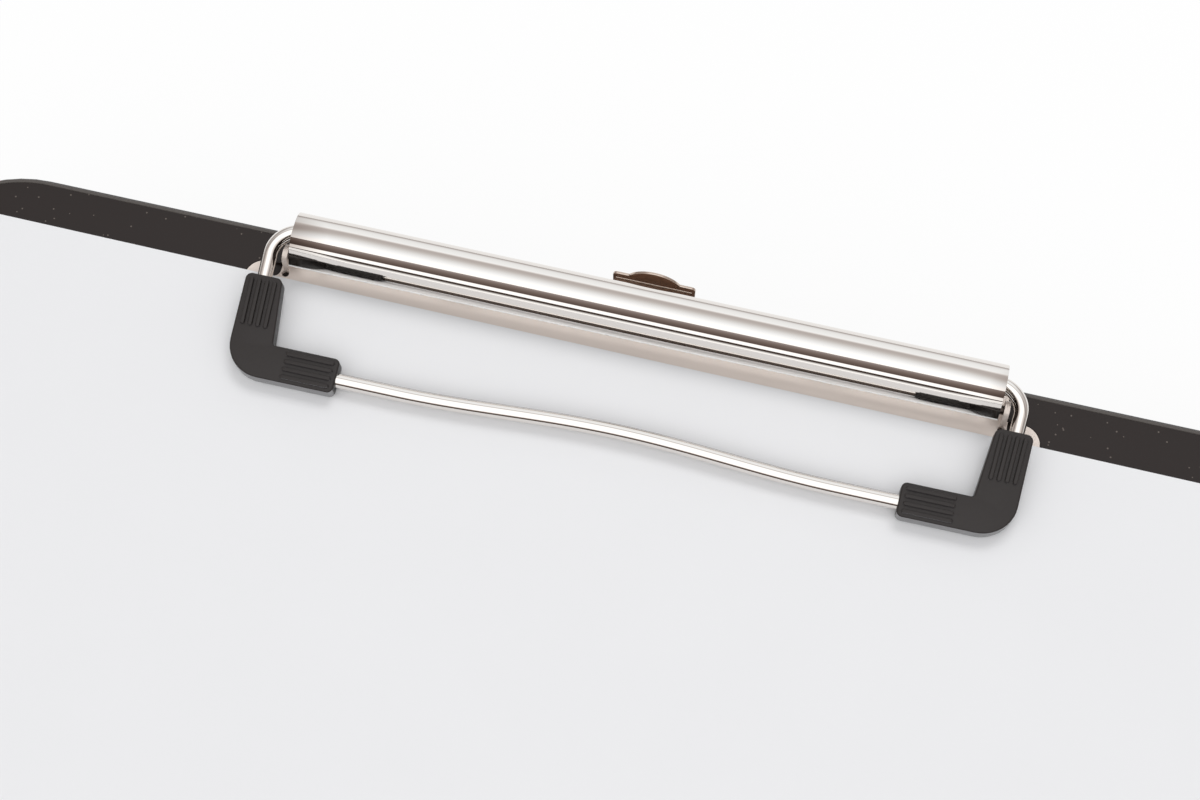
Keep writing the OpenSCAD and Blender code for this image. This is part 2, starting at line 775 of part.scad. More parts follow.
// Closed tube along the bail's line
module bail_tube(r, sides) {
    line = bail_line();
    n = len(line);
    rings = [for (i = [0 : n - 1])
        let (
            d = line[(i + 1) % n] - line[(i + n - 1) % n],
            t = d / norm(d)
        )
        for (j = [0 : sides - 1])
            [
                line[i][0] - t[1] * r * cos(360 * j / sides),
                line[i][1] + t[0] * r * cos(360 * j / sides),
                r * sin(360 * j / sides)
            ]];
    faces = concat(
        tube_faces(n, sides),
        [for (j = [0 : sides - 1]) each [
            [(n - 1) * sides + j, j, (j + 1) % sides],
            [(n - 1) * sides + j, (j + 1) % sides, (n - 1) * sides + (j + 1) % sides]
        ]]
    );
    polyhedron(rings, faces);
}

// Moves the bail's own plane to its place on the clip
module in_bail_plane() {
    at_clip() translate([0, rear_bar_y, rear_bar_z]) rotate([bail_tilt, 0, 0]) children();
}

module wire_bail() {
    color(nickel) in_bail_plane() bail_tube(wire_r, 12);
}

// Outlines of a grip's two legs, on the right-hand side
grip_mid_x = arm_x - arm_lean * 0.3;
grip_outer_x = grip_mid_x + grip_w * 0.5;
grip_outer_front_x = grip_outer_x - arm_lean * 0.6;
grip_inner_x = grip_mid_x - grip_w * 0.5;
grip_inner_front_x = grip_inner_x - arm_lean * 1.35;

module grip_side_leg() {
    polygon(rounded_outline(
        [
            [grip_inner_x, grip_end_v],
            [grip_outer_x, grip_end_v],
            [grip_outer_front_x, grip_front_v],
            [grip_inner_front_x, grip_front_v]
        ],
        [grip_edge * 2, grip_edge * 2, grip_corner_r, grip_edge],
        arc_steps
    ));
}

module grip_front_leg() {
    polygon(rounded_outline(
        [
            [grip_end_x, grip_inner_v],
            [grip_inner_front_x + grip_edge * 4, grip_inner_v],
            [grip_inner_front_x + grip_edge * 4, grip_front_v],
            [grip_end_x, grip_front_v]
        ],
        [grip_edge * 2, grip_edge, grip_edge, grip_edge * 2],
        arc_steps
    ));
}

// Convex plan with rounded upper and lower edges
module soft_slab(h, e) {
    hull()
        for (a = [0, 45, 90])
            linear_extrude(h - 2 * e * (1 - cos(a)), center = true)
                offset(delta = -e * (1 - sin(a))) children();
}

// Raised ribs, side by side, each with round ends
module grip_rib_row(l, w) {
    pitch = w / (grip_ribs + 0.6);
    for (i = [0 : grip_ribs - 1])
        translate([(i - (grip_ribs - 1) / 2) * pitch, 0, 0]) {
            square([grip_rib_w, l - grip_rib_w], center = true);
            for (s = [-1, 1])
                translate([0, s * (l - grip_rib_w) / 2]) circle(grip_rib_w / 2, $fn = round_fn / 2);
        }
}

module grip(s) {
    color(black_grip)
        in_bail_plane()
            mirror([s < 0 ? 1 : 0, 0, 0])
                difference() {
                    union() {
                        soft_slab(grip_h, grip_edge) grip_side_leg();
                        soft_slab(grip_h, grip_edge) grip_front_leg();
                        translate([0, 0, grip_h / 4])
                            linear_extrude(grip_h / 4 + grip_rib_h) {
                                translate([grip_mid_x - arm_lean * 0.3, grip_end_v - grip_edge - grip_rib_l * 0.58])
                                    rotate([0, 0, -atan(arm_lean / grip_front_y)]) grip_rib_row(grip_rib_l, grip_w);
                                translate([grip_end_x + grip_edge + grip_rib_l * 0.55, grip_front_v + grip_front_w / 2])
                                    rotate([0, 0, 90]) grip_rib_row(grip_rib_l, grip_front_w);
                            }
                    }
                    bail_tube(wire_r + run_gap, 12);
                }
}

// Middle line of a torsion spring round the pivot pin: lower leg, coil, upper leg
leg_end = [lower_leg, plate_proud + spring_wire_r + seat_gap - pin_z];
coil_start = atan2(leg_end[1], leg_end[0]) - acos(coil_r / norm(leg_end));
face_angle = atan2(fold_z - lip_z, fold_y - lip_y);
coil_end = face_angle + 90 - 360 * coil_turns;
curl_rings = 8;
function coil_point(a, x) = [x, coil_r * cos(a), coil_r * sin(a)];
function spring_line() =
    let (
        sweep = coil_start - coil_end,
        n = ceil(sweep / 360 * curl_rings),
        tip = coil_point(coil_end, sweep / 360 * coil_pitch)
    )
    concat(
        [[0, leg_end[0], leg_end[1]]],
        [for (i = [0 : n]) coil_point(coil_start - sweep * i / n, sweep * i / n / 360 * coil_pitch)],
        [tip + upper_leg * [0, sin(coil_end), -cos(coil_end)]]
    );

module spring_tube(line, r, sides) {
    n = len(line);
    rings = [for (i = [0 : n - 1])
        let (
            d = line[min(i + 1, n - 1)] - line[max(i - 1, 0)],
            t = d / norm(d),
            side = [1, 0, 0] - t[0] * t,
            a = side / norm(side),
            b = cross(t, a)
        )
        for (j = [0 : sides - 1])
            line[i] + r * (cos(360 * j / sides) * a + sin(360 * j / sides) * b)];
    faces = concat(
        tube_faces(n, sides),
        [[for (j = [0 : sides - 1]) j]],
        [[for (j = [sides - 1 : -1 : 0]) (n - 1) * sides + j]]
    );
    polyhedron(rings, faces);
}

module torsion_spring(s) {
    color(steel)
        at_clip()
            translate([0, pin_y, pin_z])
                mirror([s < 0 ? 1 : 0, 0, 0])
                    translate([coil_x, 0, 0]) spring_tube(spring_line(), spring_wire_r, 6);
}

// Least gap between neighbouring turns of a spring, measured on the points of its line
function least_gap(line, skip) = min([
    for (i = [0 : len(line) - 1], j = [i + skip : len(line) - 1])
        if (j < len(line)) norm(line[i] - line[j]) - 2 * spring_wire_r
]);
echo(spring_least_gap = least_gap(spring_line(), curl_rings - 2));

module hanger() {
    color(nickel)
        at_clip() {
            difference() {
                union() {
                    translate([-hanger_w / 2, hanger_back, hanger_low])
                        cube([hanger_w, hanger_lip_y + hanger_t - hanger_back, hanger_t]);
                    translate([-hanger_head_w / 2, hanger_back, hanger_low])
                        cube([hanger_head_w, hanger_head_l, hanger_t]);
                }
                translate([0, hang_hole_y, hanger_low - over])
                    cylinder(r = hang_hole_r, h = hanger_t + 2 * over, $fn = round_fn);
            }
            // Upturned lip with its round thumb tab
            translate([0, hanger_lip_y + hanger_t, 0])
                rotate([90, 0, 0])
                    linear_extrude(hanger_t) {
                        translate([0, (hanger_lip_z + hanger_low) / 2])
                            round_rect(hanger_w, hanger_lip_z - hanger_low, hanger_t / 2);
                        intersection() {
                            translate([0, hanger_tab_z - tab_r]) circle(tab_r, $fn = round_fn);
                            translate([-hanger_tab_w / 2, 0]) square([hanger_tab_w, hanger_tab_z]);
                        }
                    }
        }
}

module paper_sheets() {
    color(paper_white)
        at_clip()
            translate([-sheet_w / 2, -sheet_l, sheet_low]) cube([sheet_w, sheet_l, sheet_t]);
}

place() base_tray();
place() foot(-1, -1);  // front_left_foot
place() foot(1, -1);  // front_right_foot
place() foot(-1, 1);  // rear_left_foot
place() foot(1, 1);  // rear_right_foot
place() hinge_pin(hinge_ys[0]);  // front_hinge_pin
place() hinge_pin(hinge_ys[1]);  // rear_hinge_pin
place() lid();
place() groove_floor();
place() lid_frame();
place() lid_ribs();
place() latch();
place() latch_pin();
place() clip_base_plate();
place() clip_rivets();
place() rivet_washers();
place() pivot_pin();
place() torsion_spring(-1);  // left_torsion_spring
place() torsion_spring(1);  // right_torsion_spring
place() clip_cover();
place() lever_bracket(-1);  // left_lever_bracket
place() lever_bracket(1);  // right_lever_bracket
place() wire_bail();
place() grip(-1);  // left_grip
place() grip(1);  // right_grip
place() hanger();
place() paper_sheets();
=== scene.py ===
import math
import random

import bmesh
import bpy
from mathutils import Matrix, Vector


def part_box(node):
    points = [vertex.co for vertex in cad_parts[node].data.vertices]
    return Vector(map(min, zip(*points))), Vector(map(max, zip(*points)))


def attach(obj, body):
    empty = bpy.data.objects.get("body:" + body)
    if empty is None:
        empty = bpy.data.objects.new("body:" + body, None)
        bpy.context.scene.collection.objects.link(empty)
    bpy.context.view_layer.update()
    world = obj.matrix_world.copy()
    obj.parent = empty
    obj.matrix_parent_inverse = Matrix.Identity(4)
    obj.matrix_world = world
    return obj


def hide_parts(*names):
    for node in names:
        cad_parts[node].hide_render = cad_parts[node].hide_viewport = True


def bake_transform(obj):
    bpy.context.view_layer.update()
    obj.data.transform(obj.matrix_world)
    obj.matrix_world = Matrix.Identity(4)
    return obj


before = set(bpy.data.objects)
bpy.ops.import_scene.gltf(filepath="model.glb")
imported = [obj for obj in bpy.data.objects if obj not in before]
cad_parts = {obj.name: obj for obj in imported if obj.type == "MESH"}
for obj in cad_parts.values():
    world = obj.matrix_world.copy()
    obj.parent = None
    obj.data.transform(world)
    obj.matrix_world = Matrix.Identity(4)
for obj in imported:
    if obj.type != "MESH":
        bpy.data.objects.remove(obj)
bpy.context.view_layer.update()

# Lengths are in millimetres in the clip's frame, unless a comment says metres: X to the right, Y
# to the rear from the sheets' upper edge, Z up from the writing face. at_clip() turns them into
# metres in the row frame.
MM = 0.001
FACE_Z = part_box("lid")[1].z
EDGE_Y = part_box("paper_sheets")[1].y
SHEET_TOP = (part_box("paper_sheets")[1].z - FACE_Z) / MM


def at_clip(x, y, z):
    return Vector((x * MM, EDGE_Y + y * MM, FACE_Z + z * MM))


# ---------- camera ----------
# Recovered from the photograph, for a sensor 36 mm wide; the clip range is in metres
CAMERA_PLACE = Vector((25.46, -131.60, 317.01))
CAMERA_RIGHT = Vector((0.97292, 0.23113, 0.00031))
CAMERA_UP = Vector((-0.21464, 0.90300, 0.37219))
CAMERA_FORWARD = Vector((-0.08574, 0.36218, -0.92816))
CAMERA_LENS, CAMERA_SENSOR = 67.5, 36
CLIP_START, CLIP_END = 0.01, 50


def make_camera():
    data = bpy.data.cameras.new("camera")
    data.lens = CAMERA_LENS
    data.sensor_fit = "HORIZONTAL"
    data.sensor_width = CAMERA_SENSOR
    data.clip_start, data.clip_end = CLIP_START, CLIP_END
    cam = bpy.data.objects.new("camera", data)
    bpy.context.scene.collection.objects.link(cam)
    back = -CAMERA_FORWARD
    rows = [[CAMERA_RIGHT[i], CAMERA_UP[i], back[i]] for i in range(3)]
    cam.matrix_world = Matrix.Translation(at_clip(*CAMERA_PLACE)) @ Matrix(rows).to_4x4()
    bpy.context.scene.camera = cam


make_camera()
bpy.context.scene.view_settings.view_transform = "Standard"


# ---------- node helpers ----------
class Nodes:
    """Short way to add and join shader nodes."""

    def __init__(self, tree):
        self.tree = tree
        tree.nodes.clear()

    def add(self, kind, **inputs):
        node = self.tree.nodes.new(kind)
        for key, value in inputs.items():
            if hasattr(node, key):
                setattr(node, key, value)
            else:
                self.put(node, key.replace("_", " "), value)
        return node

    def put(self, node, key, value):
        """Links value to the input, which key names or numbers, or sets it as a constant."""
        socket = node.inputs[key]
        if isinstance(value, bpy.types.NodeSocket):
            self.tree.links.new(value, socket)
        else:
            socket.default_value = value

    def math(self, operation, a, b=0.0):
        node = self.tree.nodes.new("ShaderNodeMath")
        node.operation = operation
        self.put(node, 0, a)
        self.put(node, 1, b)
        return node.outputs[0]

    def ramp(self, factor, stops):
        """Colour by factor, through stops of (place from 0 to 1, colour)."""
        node = self.tree.nodes.new("ShaderNodeValToRGB")
        band = node.color_ramp
        while len(band.elements) > 1:
            band.elements.remove(band.elements[-1])
        band.elements[0].position = stops[0][0]
        band.elements[0].color = (*stops[0][1], 1)
        for place, colour in stops[1:]:
            band.elements.new(place).color = (*colour, 1)
        self.tree.links.new(factor, node.inputs[0])
        return node.outputs[0]

    def shade(self, factor, a, b):
        node = self.tree.nodes.new("ShaderNodeMixShader")
        for key, value in enumerate((factor, a, b)):
            self.put(node, key, value)
        return node.outputs[0]

    def any_ray(self, path, *kinds):
        """1 for a ray of any of these kinds, from the outputs of a Light Path node."""
        found = path.outputs[kinds[0]]
        for kind in kinds[1:]:
            found = self.math("MAXIMUM", found, path.outputs[kind])
        return found


# ---------- light ----------
# What bright metal mirrors, by the angle of the mirrored ray in the Y-Z plane:
# 0 is the horizon in front, 90 straight up and 180 the horizon behind. The dark band low in front
# and the grey ones behind give the bands that the photograph's metal shows.
WHITE = (1.0, 1.0, 1.0)
MIRRORED = [
    (-180, WHITE), (0.8, WHITE), (2.2, (0.046, 0.034, 0.029)), (11, (0.054, 0.040, 0.034)),
    (15, (0.078, 0.058, 0.050)), (19, (0.105, 0.079, 0.069)), (23, (0.150, 0.117, 0.105)),
    (27.5, (0.215, 0.176, 0.165)), (30, (0.50, 0.46, 0.45)), (32, WHITE), (105.5, WHITE),
    (108.3, (0.83, 0.86, 0.89)), (110, (0.73, 0.745, 0.76)), (111.8, (0.62, 0.625, 0.63)),
    (113.3, (0.50, 0.48, 0.47)), (115, (0.420, 0.390, 0.380)), (118, (0.420, 0.390, 0.380)),
    (121, (0.62, 0.60, 0.59)), (127, (0.80, 0.82, 0.84)), (134, (0.76, 0.785, 0.80)),
    (147, (0.74, 0.76, 0.77)), (158, (0.70, 0.715, 0.73)), (166, (0.58, 0.575, 0.58)),
    (170, (0.38, 0.36, 0.355)), (176, (0.36, 0.345, 0.34)), (180, (0.50, 0.48, 0.475)),
]
MIRRORED_STRENGTH = 1.4
# How the surroundings darken towards the sides, by the X part of the mirrored ray
SIDES = [
    (-1.0, (0.38, 0.34, 0.32)), (-0.62, (0.52, 0.48, 0.46)), (-0.36, WHITE),
    (0.34, WHITE), (0.55, (0.62, 0.58, 0.56)), (1.0, (0.40, 0.36, 0.34)),
]
WORLD_LEVEL = 0.54


def make_world():
    world = bpy.data.worlds.new("studio")
    bpy.context.scene.world = world
    world.use_nodes = True
    n = Nodes(world.node_tree)
    direction = n.add("ShaderNodeTexCoord").outputs["Generated"]
    xyz = n.add("ShaderNodeSeparateXYZ", Vector=direction)
    angle = n.math("ARCTAN2", xyz.outputs["Z"], n.math("MULTIPLY", xyz.outputs["Y"], -1.0))
    turn = n.math("ADD", n.math("DIVIDE", angle, math.tau), 0.5)
    mirrored = n.ramp(turn, [((a + 180) / 360, colour) for a, colour in MIRRORED])
    across = n.math("DIVIDE", n.math("ADD", xyz.outputs["X"], 1.0), 2.0)
    sides = n.ramp(across, [((x + 1) / 2, colour) for x, colour in SIDES])
    shaded = n.add("ShaderNodeVectorMath", operation="MULTIPLY")
    n.put(shaded, 0, mirrored)
    n.put(shaded, 1, sides)
    gloss = n.add("ShaderNodeBackground", Color=shaded.outputs[0], Strength=MIRRORED_STRENGTH)
    light = n.add("ShaderNodeBackground", Color=(1, 1, 1, 1), Strength=WORLD_LEVEL)
    white = n.add("ShaderNodeBackground", Color=(1, 1, 1, 1), Strength=1.0)
    path = n.add("ShaderNodeLightPath")
    mixed = n.shade(path.outputs["Is Glossy Ray"], light.outputs[0], gloss.outputs[0])
    direct = n.any_ray(path, "Is Camera Ray", "Is Transmission Ray")
    out = n.add("ShaderNodeOutputWorld")
    n.put(out, "Surface", n.shade(direct, mixed, white.outputs[0]))


def area_lamp(name, place, aim, size, energy):
    """A rectangular lamp that mirrors don't show."""
    data = bpy.data.lights.new(name, "AREA")
    data.shape = "RECTANGLE"
    data.size, data.size_y = size
    data.energy = energy
    lamp = bpy.data.objects.new(name, data)
    bpy.context.scene.collection.objects.link(lamp)
    lamp.location = place
    lamp.rotation_mode = "QUATERNION"
    lamp.rotation_quaternion = (Vector(aim) - Vector(place)).to_track_quat("-Z", "Y")
    lamp.visible_glossy = False
    return lamp


# Lamps in the row frame, in metres: place, aim, size and energy
FRONT_LAMP = ((0.0, -0.75, 1.30), (0, 0.05, 0.03), (2.6, 1.4), 11.0)
REAR_LAMP = ((0.10, 0.75, 1.15), (0, 0.13, 0.03), (0.7, 0.5), 3.9)
# Lamps for the light that comes in under the cover; they light the base plate only
COVER_LENGTH = 0.108
UNDER_COVER_LAMP = (at_clip(0, 2.0, 2.6), at_clip(0, 2.85, 0.2), (COVER_LENGTH, 0.0006), 0.00034)
STRIP_LAMP = (at_clip(0, -0.6, 3.4), at_clip(0, 0.9, 0.2), (COVER_LENGTH, 0.001), 0.00050)
UNDER_COVER_SPREAD = math.radians(80)


def make_lamps():
    area_lamp("front_lamp", *FRONT_LAMP)
    area_lamp("rear_lamp", *REAR_LAMP)
    glow = area_lamp("under_cover_lamp", *UNDER_COVER_LAMP)
    glow.data.spread = UNDER_COVER_SPREAD
    fill = area_lamp("strip_lamp", *STRIP_LAMP)
    lit = bpy.data.collections.new("under_cover_lit")
    lit.objects.link(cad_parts["clip_base_plate"])
    for lamp in (glow, fill):
        lamp.light_linking.receiver_collection = lit


# The floor glows white for rays that show it and keeps a part of the object's shadow
FLOOR_HALF, FLOOR_GLOW, FLOOR_COLOUR = 6.0, 0.90, (0.985, 0.985, 0.985, 1)


def make_floor():
    h = FLOOR_HALF
    floor = add_mesh("floor", [(-h, -h, 0), (h, -h, 0), (h, h, 0), (-h, h, 0)], [(0, 1, 2, 3)])
    material = bpy.data.materials.new("pale_floor")
    material.use_nodes = True
    n = Nodes(material.node_tree)
    glow = n.add("ShaderNodeEmission", Color=(1, 1, 1, 1), Strength=1.0)
    matt = n.add("ShaderNodeBsdfDiffuse", Color=FLOOR_COLOUR)
    path = n.add("ShaderNodeLightPath")
    seen = n.any_ray(path, "Is Camera Ray", "Is Glossy Ray", "Is Transmission Ray")
    surface = n.shade(n.math("MULTIPLY", seen, FLOOR_GLOW), matt.outputs[0], glow.outputs[0])
    n.put(n.add("ShaderNodeOutputMaterial"), "Surface", surface)
    floor.data.materials.append(material)


# ---------- materials ----------
# Specks of dust: cells per metre, radius in cells, and colour
DUST_CELLS, DUST_SIZE, DUST_TONE = 760.0, 0.105, (0.11, 0.09, 0.078, 1)
# The middle part of a noise's range, and the level above which a scratch shows
NOISE_LOW, NOISE_HIGH, SCRATCH_LEVEL = 0.3, 0.7, 0.66
MIN_ROUGHNESS = 0.02
# How much coarser than the grain the colour's noise and the scratches are
COARSER_TINT, COARSER_SCRATCH = 30, 4
# Detail and roughness of each noise
FINE_NOISE, TINT_NOISE, SCRATCH_NOISE = (4.0, 0.6), (3.0, 0.5), (6.0, 0.8)
# Sockets of the colour mix node that share their names with others
MIX_FACTOR, MIX_A, MIX_B, MIX_RESULT = 0, 6, 7, 2


def finish(
    name,
    colour,
    roughness,
    metallic=0.0,
    ior=1.45,
    grain=900.0,
    stretch=(1, 1, 1),
    colour_spread=0.04,
    rough_spread=0.05,
    bump=0.02,
    bump_depth=0.02,
    dust=0.0,
    scratches=0.0,
):
    """A principled finish whose colour, roughness and relief come from procedural noise.

    grain is the scale of the fine noise, bump_depth is in millimetres, dust is the share of
    cells with a speck, and scratches is the roughness that a scratch adds.
    """
    material = bpy.data.materials.new(name)
    material.use_nodes = True
    n = Nodes(material.node_tree)
    place = n.add("ShaderNodeTexCoord").outputs["Object"]
    place = n.add("ShaderNodeMapping", Vector=place, Scale=stretch).outputs[0]

    def noise(scale, detail, rough):
        return n.add(
            "ShaderNodeTexNoise", Vector=place, Scale=scale, Detail=detail, Roughness=rough
        ).outputs[0]

    fine = noise(grain, *FINE_NOISE)
    broad = noise(grain / COARSER_TINT, *TINT_NOISE)
    low = [c * (1 - colour_spread) for c in colour]
    high = [c * (1 + colour_spread) for c in colour]
    tint = n.ramp(broad, [(NOISE_LOW, low), (NOISE_HIGH, high)])
    rough = n.add(
        "ShaderNodeMapRange",
        Value=fine,
        From_Min=NOISE_LOW,
        From_Max=NOISE_HIGH,
        To_Min=max(MIN_ROUGHNESS, roughness - rough_spread),
        To_Max=roughness + rough_spread,
    ).outputs[0]
    if dust:
        cells = n.add("ShaderNodeTexVoronoi", Vector=place, Scale=DUST_CELLS)
        near = n.math("LESS_THAN", cells.outputs["Distance"], DUST_SIZE)
        chosen = n.add("ShaderNodeSeparateColor", Color=cells.outputs["Color"]).outputs[0]
        speck = n.math("MULTIPLY", near, n.math("GREATER_THAN", chosen, 1 - dust))
        mix = n.add("ShaderNodeMix", data_type="RGBA")
        n.put(mix, MIX_FACTOR, speck)
        n.put(mix, MIX_A, tint)
        n.put(mix, MIX_B, DUST_TONE)
        tint = mix.outputs[MIX_RESULT]
    if scratches:
        lines = noise(grain / COARSER_SCRATCH, *SCRATCH_NOISE)
        lines = n.math("GREATER_THAN", lines, SCRATCH_LEVEL)
        rough = n.math("ADD", rough, n.math("MULTIPLY", lines, scratches))
    relief = n.add("ShaderNodeBump", Height=fine, Strength=bump, Distance=bump_depth * MM)
    shader = n.add(
        "ShaderNodeBsdfPrincipled",
        Base_Color=tint,
        Roughness=rough,
        Metallic=metallic,
        IOR=ior,
        Normal=relief.outputs[0],
    )
    n.put(n.add("ShaderNodeOutputMaterial"), "Surface", shader.outputs[0])
    return material


# The board's edge bead: its rounding catches a real reflection, and its lighter grey paints a
# highlight along the edge
BOARD_EDGE_HIGHLIGHT = finish("board_edge_painted_highlight", (0.080, 0.070, 0.064), 0.42, grain=2600, bump=0.08)
BOARD = finish("board_plastic", (0.0090, 0.0040, 0.0028), 0.36, grain=2600, bump=0.08, dust=0.75)
CASE = finish("case_plastic", (0.017, 0.014, 0.0125), 0.46, grain=1800, bump=0.25, bump_depth=0.03)
LATCH = finish("latch_plastic", (0.016, 0.0135, 0.012), 0.40, grain=2200, bump=0.2, scratches=0.1)
RUBBER = finish("foot_rubber", (0.022, 0.021, 0.020), 0.75, grain=1500, bump=0.35, bump_depth=0.05)
GRIP_TOP = finish(
    "grip_top", (0.0165, 0.0128, 0.0120), 0.44, grain=2600, bump=0.35, dust=0.05, scratches=0.12
)
# The grips' front walls: the high IOR gives a real reflection, and the lighter lilac grey paints in
# the paper's reflection
GRIP_FRONT_SHEEN = finish(
    "grip_front_painted_reflection", (0.060, 0.056, 0.062), 0.12, ior=3.6, grain=1400, rough_spread=0.03, bump=0.05
)
GRIP_WALL = finish("grip_wall", (0.0125, 0.0105, 0.0100), 0.40, grain=1400, bump=0.05)
# Bright nickel, with its fine draw marks stretched along X
NICKEL_BASE, ALONG = (0.80, 0.765, 0.73), (0.04, 1, 1)
COVER = finish(
    "nickel_cover", NICKEL_BASE, 0.032, 1.0,
    stretch=ALONG, colour_spread=0.008, rough_spread=0.012, bump=0.012,
)
WIRE = finish(
    "nickel_wire", NICKEL_BASE, 0.045, 1.0,
    grain=1200, stretch=ALONG, colour_spread=0.015, rough_spread=0.015,
)
# Painted shade: a dark metal for the front bar's side that faces the cover
WIRE_SHADE = finish("wire_shade", (0.12, 0.095, 0.082), 0.25, 1.0, grain=1200, stretch=ALONG)
NICKEL = finish(
    "nickel_plate", (0.80, 0.71, 0.65), 0.42, 0.25,
    grain=1000, colour_spread=0.02, rough_spread=0.04, bump=0.04,
)
# Painted highlight: near-white and not metallic, for the bright line along the cover's rolled lip
LIP_HIGHLIGHT = finish("painted_lip_highlight", (0.95, 0.94, 0.92), 0.30)
HANGER = finish(
    "nickel_hanger", (0.60, 0.50, 0.43), 0.16, 1.0,
    grain=700, colour_spread=0.03, rough_spread=0.02, bump=0.01,
)
# Painted shade: a dull brown for the lip's and tab's front faces, in place of the dark they mirror
HANGER_PAINTED_SHADE = finish(
    "hanger_shade", (0.24, 0.125, 0.075), 0.38, 0.4, grain=700, colour_spread=0.03, bump=0.01
)
STEEL = finish("zinc_steel", (0.58, 0.565, 0.55), 0.30, 1.0, bump=0.08)
DARK_STEEL = finish(
    "blackened_steel", (0.075, 0.060, 0.052), 0.34, 1.0, colour_spread=0.05, bump=0.06
)
SPRING = finish("spring_steel", (0.45, 0.44, 0.43), 0.28, 1.0, grain=1500, bump=0.06)
PAPER = finish(
    "office_paper", (0.855, 0.857, 0.872), 0.70,
    grain=1600, colour_spread=0.004, bump=0.10, bump_depth=0.012,
)

CAD_FINISHES = {
    "base_tray": CASE, "front_left_foot": RUBBER, "front_right_foot": RUBBER,
    "rear_left_foot": RUBBER, "rear_right_foot": RUBBER, "front_hinge_pin": STEEL,
    "rear_hinge_pin": STEEL, "lid": BOARD, "groove_floor": BOARD, "lid_frame": BOARD,
    "lid_ribs": BOARD, "latch": LATCH, "latch_pin": STEEL, "clip_base_plate": NICKEL,
    "clip_rivets": STEEL, "rivet_washers": STEEL, "pivot_pin": DARK_STEEL,
    "left_lever_bracket": DARK_STEEL, "right_lever_bracket": DARK_STEEL,
}


def dress_cad_nodes():
    for name, material in CAD_FINISHES.items():
        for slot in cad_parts[name].material_slots:
            slot.material = material


# ---------- mesh helpers ----------
# Edges sharper than this stay sharp. Welding distances are in metres.
SHARP = math.radians(32)
WELD = 1e-7
# The length of the side vector under which a tube runs nearly upright
UPRIGHT = 0.05


def add_mesh(name, points, faces, materials=()):
    mesh = bpy.data.meshes.new(name)
    mesh.from_pydata([tuple(p) for p in points], [], faces)
    clean = bmesh.new()
    clean.from_mesh(mesh)
    bmesh.ops.remove_doubles(clean, verts=clean.verts, dist=WELD)
    bmesh.ops.recalc_face_normals(clean, faces=clean.faces)
    clean.to_mesh(mesh)
    clean.free()
    smooth(mesh)
    for material in materials:
        mesh.materials.append(material)
    obj = bpy.data.objects.new(name, mesh)
    bpy.context.scene.collection.objects.link(obj)
    return obj


def smooth(mesh):
    """Smooth shading with the sharp edges kept."""
    for polygon in mesh.polygons:
        polygon.use_smooth = True
    mesh.set_sharp_from_angle(angle=SHARP)


def bevel(obj, width, segments=3, angle=50):
    """Rounds the sharp edges and applies it, so the rounding is in the mesh."""
    mod = obj.modifiers.new("edges", "BEVEL")
    mod.width, mod.segments = width * MM, segments
    mod.limit_method, mod.angle_limit = "ANGLE", math.radians(angle)
    mod.harden_normals = False
    apply_modifiers(obj)
    obj.data.set_sharp_from_angle(angle=SHARP)


def apply_modifiers(obj):
    graph = bpy.context.evaluated_depsgraph_get()
    mesh = bpy.data.meshes.new_from_object(obj.evaluated_get(graph))
    obj.modifiers.clear()
    obj.data = mesh


def rounded(points, radii, steps=5):
    """Closed outline with each corner rounded by its own radius; radius 0 keeps the corner."""
    out = []
    count = len(points)
    for i in range(count):
        a, c, b = (Vector(points[j % count]) for j in (i - 1, i, i + 1))
        if not radii[i]:
            out.append(c)
            continue
        u, v = (a - c).normalized(), (b - c).normalized()
        half = math.acos(max(-1, min(1, u.dot(v)))) / 2
        mid = c + (u + v).normalized() * radii[i] / math.sin(half)
        p, q = c + u * radii[i] / math.tan(half), c + v * radii[i] / math.tan(half)
        start, end = (math.atan2(*(k - mid).yx) for k in (p, q))
        sweep = (end - start + math.pi) % math.tau - math.pi
        for k in range(steps + 1):
            t = start + sweep * k / steps
            out.append(mid + radii[i] * Vector((math.cos(t), math.sin(t))))
    return out


def skin(name, rings, materials, closed=False):
    """Joins each ring of points to the next; a row of rings that isn't closed gets end faces."""
    count, sides = len(rings), len(rings[0])
    faces = []
    for i in range(count if closed else count - 1):
        a, b = i * sides, (i + 1) % count * sides
        for j in range(sides):
            k = (j + 1) % sides
            faces.append((a + j, a + k, b + k, b + j))
    if not closed:
        faces += [tuple(range(sides)), tuple(range((count - 1) * sides, count * sides))]
    return add_mesh(name, [p for ring in rings for p in ring], faces, materials)


def prism(name, outline, place, low, high, materials, cuts=1):
    """Extrudes a closed outline; place(u, v, w) gives the point, and w runs from low to high."""
    levels = [low + (high - low) * k / cuts for k in range(cuts + 1)]
    return skin(name, [[place(p[0], p[1], w) for p in outline] for w in levels], materials)


def ring_round(centre, a, b, radius, sides):
    """Points around a centre in metres, in the plane of the unit vectors a and b."""
    turns = [math.tau * j / sides for j in range(sides)]
    return [centre + radius * MM * (math.cos(t) * a + math.sin(t) * b) for t in turns]


def tube(name, line, radius, sides, materials, closed):
    """Round tube along a line of points in metres, with level sides."""
    count = len(line)
    rings = []
    for i in range(count):
        before = line[i - 1] if closed or i else line[0]
        after = line[(i + 1) % count] if closed or i < count - 1 else line[-1]
        along = (after - before).normalized()
        side = along.cross(Vector((0, 0, 1)))
        if side.length < UPRIGHT:
            side = along.cross(Vector((0, 1, 0)))
        side.normalize()
        rings.append(ring_round(line[i], side, side.cross(along), radius, sides))
    return skin(name, rings, materials, closed)


def join_pieces(pieces, keep, weld=0.0):
    """Puts the meshes of all pieces into the one to keep, and removes the other pieces."""
    joined = bmesh.new()
    for piece in pieces:
        joined.from_mesh(piece.data)
    if weld:
        bmesh.ops.remove_doubles(joined, verts=joined.verts, dist=weld)
    joined.to_mesh(keep.data)
    joined.free()
    smooth(keep.data)
    for piece in pieces:
        if piece != keep:
            bpy.data.objects.remove(piece)


